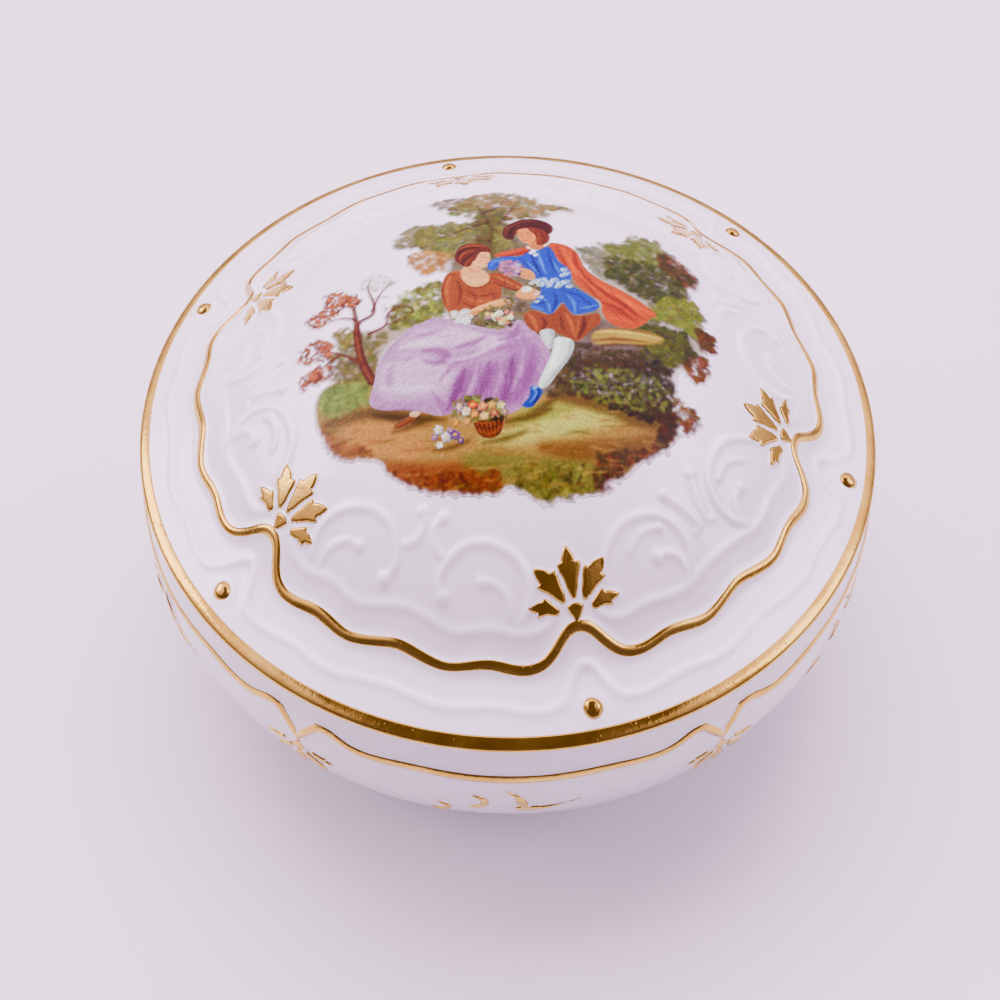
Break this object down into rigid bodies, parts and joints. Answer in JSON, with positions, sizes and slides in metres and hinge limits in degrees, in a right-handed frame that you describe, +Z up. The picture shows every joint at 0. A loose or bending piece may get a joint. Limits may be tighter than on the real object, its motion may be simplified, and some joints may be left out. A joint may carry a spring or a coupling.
{
  "type": "porcelain trinket box",
  "caption": "Round bellied porcelain trinket box with a loose domed lid, gilded wave line, palmettes and beads, and a printed pastoral scene on the lid.",
  "frame": {"origin": "centre of the foot ring's bottom plane, on the box's axis", "axes": "+Z up along the axis from the foot ring to the top of the lid; +X and +Y lie on the table"},
  "size_m": [0.1208, 0.1206, 0.0634],
  "materials": {
    "porcelain": "glossy cool white glaze over cast relief",
    "gold": "burnished bright gold, fired on",
    "printed_scene": "glossy ceramic transfer, fired on"
  },
  "bodies": {
    "base": {"base_porcelain": "porcelain", "base_line_gilding": "gold", "base_palmettes": "gold", "base_sprays": "gold"},
    "lid": {"lid_porcelain": "porcelain", "lid_rim_gilding": "gold", "lid_wave_gilding": "gold", "lid_palmettes": "gold", "lid_beads": "gold", "scene_transfer": "printed_scene"}
  },
  "joints": [
    {"name": "lid_lift", "type": "slide", "parent": "base", "child": "lid", "axis": [0, 0, 1], "range_m": [0, 0.08]}
  ]
}
